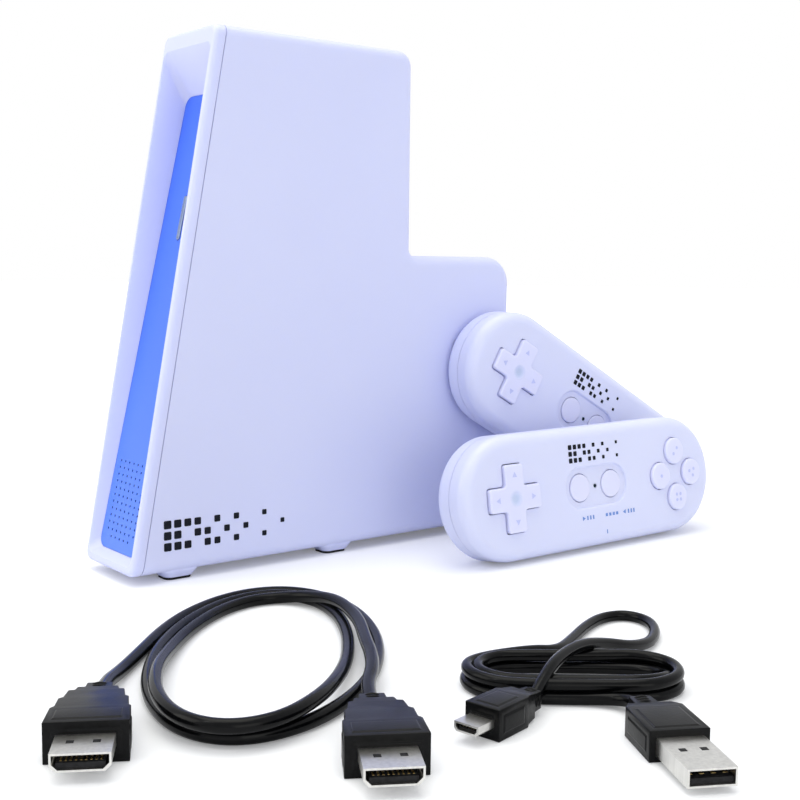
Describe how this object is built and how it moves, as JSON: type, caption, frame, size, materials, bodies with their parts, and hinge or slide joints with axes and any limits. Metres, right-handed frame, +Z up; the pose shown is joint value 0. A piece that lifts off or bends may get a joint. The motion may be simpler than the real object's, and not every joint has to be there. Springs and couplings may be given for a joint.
{
  "type": "game console with controllers",
  "caption": "Upright slanted TV game console on rubber feet with a recessed front panel, wireless pads and coiled video and power leads.",
  "frame": {"origin": "middle of the footprint of the console and its two controllers, on the surface they stand on", "axes": "+X from the console towards the controllers beside it (its width), +Y from its front to its rear, +Z up"},
  "size_m": [0.2772, 0.369, 0.2034],
  "materials": {
    "white_casing": "satin moulded",
    "white_button": "satin moulded",
    "blue_panel": "satin moulded",
    "silver_trim": "bright plated",
    "black_rubber": "matte",
    "keypad_rubber": "matte",
    "circuit_board": "lacquered laminate",
    "black_component": "matte",
    "nickel_plate": "plated",
    "zinc_screw": "plated",
    "battery_jacket": "printed foil",
    "black_grip": "satin moulded",
    "black_cord": "satin"
  },
  "bodies": {
    "console": {"front_bezel": "white_casing", "front_panel": "blue_panel", "led_board": "circuit_board", "right_shell": "white_casing", "left_shell": "white_casing", "main_board": "circuit_board", "board_chips": "black_component", "hdmi_socket": "nickel_plate", "power_socket": "nickel_plate", "speaker": "black_component", "foot_pads": "black_rubber", "case_screws": "zinc_screw"},
    "power_button": {"power_button": "silver_trim"},
    "controller_1": {"controller_1_front_shell": "white_casing", "controller_1_back_shell": "white_casing", "controller_1_keypad_rubber": "keypad_rubber", "controller_1_board": "circuit_board", "controller_1_batteries": "battery_jacket", "controller_1_battery_contacts": "nickel_plate", "controller_1_case_screws": "zinc_screw"},
    "controller_1_dpad_pivot": {"controller_1_dpad_pivot": "black_component"},
    "controller_1_dpad": {"controller_1_dpad": "white_button"},
    "controller_1_a_button": {"controller_1_a_button": "white_button"},
    "controller_1_b_button": {"controller_1_b_button": "white_button"},
    "controller_1_x_button": {"controller_1_x_button": "white_button"},
    "controller_1_y_button": {"controller_1_y_button": "white_button"},
    "controller_1_start_button": {"controller_1_start_button": "white_button"},
    "controller_1_select_button": {"controller_1_select_button": "white_button"},
    "controller_1_battery_cover": {"controller_1_battery_cover": "white_casing"},
    "controller_2": {"controller_2_front_shell": "white_casing", "controller_2_back_shell": "white_casing", "controller_2_keypad_rubber": "keypad_rubber", "controller_2_board": "circuit_board", "controller_2_batteries": "battery_jacket", "controller_2_battery_contacts": "nickel_plate", "controller_2_case_screws": "zinc_screw"},
    "controller_2_dpad_pivot": {"controller_2_dpad_pivot": "black_component"},
    "controller_2_dpad": {"controller_2_dpad": "white_button"},
    "controller_2_a_button": {"controller_2_a_button": "white_button"},
    "controller_2_b_button": {"controller_2_b_button": "white_button"},
    "controller_2_x_button": {"controller_2_x_button": "white_button"},
    "controller_2_y_button": {"controller_2_y_button": "white_button"},
    "controller_2_start_button": {"controller_2_start_button": "white_button"},
    "controller_2_select_button": {"controller_2_select_button": "white_button"},
    "controller_2_battery_cover": {"controller_2_battery_cover": "white_casing"},
    "hdmi_lead": {"hdmi_lead_coil": "black_cord", "hdmi_lead_tail_1": "black_cord", "hdmi_lead_tail_2": "black_cord", "hdmi_lead_plug_1_body": "black_grip", "hdmi_lead_plug_1_shell": "nickel_plate", "hdmi_lead_plug_2_body": "black_grip", "hdmi_lead_plug_2_shell": "nickel_plate"},
    "usb_lead": {"usb_lead_hank": "black_cord", "usb_lead_tail_1": "black_cord", "usb_lead_tail_2": "black_cord", "usb_lead_plug_1_body": "black_grip", "usb_lead_plug_1_shell": "nickel_plate", "usb_lead_plug_2_body": "black_grip", "usb_lead_plug_2_shell": "nickel_plate"}
  },
  "joints": [
    {"name": "power_press", "type": "slide", "parent": "console", "child": "power_button", "axis": [0, 0.9745, -0.2243], "range_m": [0, 0.0008], "stiffness_N_per_m": 200, "springref_m": -0.0006},
    {"name": "controller_1_lift", "type": "slide", "parent": "console", "child": "controller_1", "axis": [0, 0, 1], "range_m": [0, 0.08]},
    {"name": "controller_1_dpad_up_down", "type": "hinge", "parent": "controller_1", "child": "controller_1_dpad_pivot", "pos_m": [0.04396, -0.00429, 0.02661], "axis": [0.0141, 0.9999, 0.005], "range_deg": [-3, 3], "stiffness_Nm_per_rad": 0.3},
    {"name": "controller_1_dpad_left_right", "type": "hinge", "parent": "controller_1_dpad_pivot", "child": "controller_1_dpad", "pos_m": [0.04396, -0.00429, 0.02661], "axis": [-0.1479, -0.0029, 0.989], "range_deg": [-3, 3], "stiffness_Nm_per_rad": 0.3},
    {"name": "controller_1_a_press", "type": "slide", "parent": "controller_1", "child": "controller_1_a_button", "axis": [-0.9889, 0.0147, -0.1478], "range_m": [0, 0.001], "stiffness_N_per_m": 200, "springref_m": -0.0006},
    {"name": "controller_1_b_press", "type": "slide", "parent": "controller_1", "child": "controller_1_b_button", "axis": [-0.9889, 0.0147, -0.1478], "range_m": [0, 0.001], "stiffness_N_per_m": 200, "springref_m": -0.0006},
    {"name": "controller_1_x_press", "type": "slide", "parent": "controller_1", "child": "controller_1_x_button", "axis": [-0.9889, 0.0147, -0.1478], "range_m": [0, 0.001], "stiffness_N_per_m": 200, "springref_m": -0.0006},
    {"name": "controller_1_y_press", "type": "slide", "parent": "controller_1", "child": "controller_1_y_button", "axis": [-0.9889, 0.0147, -0.1478], "range_m": [0, 0.001], "stiffness_N_per_m": 200, "springref_m": -0.0006},
    {"name": "controller_1_start_press", "type": "slide", "parent": "controller_1", "child": "controller_1_start_button", "axis": [-0.9889, 0.0147, -0.1478], "range_m": [0, 0.0006], "stiffness_N_per_m": 200, "springref_m": -0.0006},
    {"name": "controller_1_select_press", "type": "slide", "parent": "controller_1", "child": "controller_1_select_button", "axis": [-0.9889, 0.0147, -0.1478], "range_m": [0, 0.0006], "stiffness_N_per_m": 200, "springref_m": -0.0006},
    {"name": "controller_1_cover_slide", "type": "slide", "parent": "controller_1", "child": "controller_1_battery_cover", "axis": [-0.1479, -0.0029, 0.989], "range_m": [0, 0.03]},
    {"name": "controller_2_lift", "type": "slide", "parent": "console", "child": "controller_2", "axis": [0, 0, 1], "range_m": [0, 0.08]},
    {"name": "controller_2_dpad_up_down", "type": "hinge", "parent": "controller_2", "child": "controller_2_dpad_pivot", "pos_m": [0.00785, 0.0311, 0.07214], "axis": [0.0455, 0.8686, -0.4935], "range_deg": [-3, 3], "stiffness_Nm_per_rad": 0.3},
    {"name": "controller_2_dpad_left_right", "type": "hinge", "parent": "controller_2_dpad_pivot", "child": "controller_2_dpad", "pos_m": [0.00785, 0.0311, 0.07214], "axis": [0.0258, 0.4928, 0.8698], "range_deg": [-3, 3], "stiffness_Nm_per_rad": 0.3},
    {"name": "controller_2_a_press", "type": "slide", "parent": "controller_2", "child": "controller_2_a_button", "axis": [-0.9986, 0.0523, 0], "range_m": [0, 0.001], "stiffness_N_per_m": 200, "springref_m": -0.0006},
    {"name": "controller_2_b_press", "type": "slide", "parent": "controller_2", "child": "controller_2_b_button", "axis": [-0.9986, 0.0523, 0], "range_m": [0, 0.001], "stiffness_N_per_m": 200, "springref_m": -0.0006},
    {"name": "controller_2_x_press", "type": "slide", "parent": "controller_2", "child": "controller_2_x_button", "axis": [-0.9986, 0.0523, 0], "range_m": [0, 0.001], "stiffness_N_per_m": 200, "springref_m": -0.0006},
    {"name": "controller_2_y_press", "type": "slide", "parent": "controller_2", "child": "controller_2_y_button", "axis": [-0.9986, 0.0523, 0], "range_m": [0, 0.001], "stiffness_N_per_m": 200, "springref_m": -0.0006},
    {"name": "controller_2_start_press", "type": "slide", "parent": "controller_2", "child": "controller_2_start_button", "axis": [-0.9986, 0.0523, 0], "range_m": [0, 0.0006], "stiffness_N_per_m": 200, "springref_m": -0.0006},
    {"name": "controller_2_select_press", "type": "slide", "parent": "controller_2", "child": "controller_2_select_button", "axis": [-0.9986, 0.0523, 0], "range_m": [0, 0.0006], "stiffness_N_per_m": 200, "springref_m": -0.0006},
    {"name": "controller_2_cover_slide", "type": "slide", "parent": "controller_2", "child": "controller_2_battery_cover", "axis": [0.0258, 0.4928, 0.8698], "range_m": [0, 0.03]},
    {"name": "hdmi_lead_lift", "type": "slide", "parent": "console", "child": "hdmi_lead", "axis": [0, 0, 1], "range_m": [0, 0.08]},
    {"name": "usb_lead_lift", "type": "slide", "parent": "console", "child": "usb_lead", "axis": [0, 0, 1], "range_m": [0, 0.08]}
  ]
}
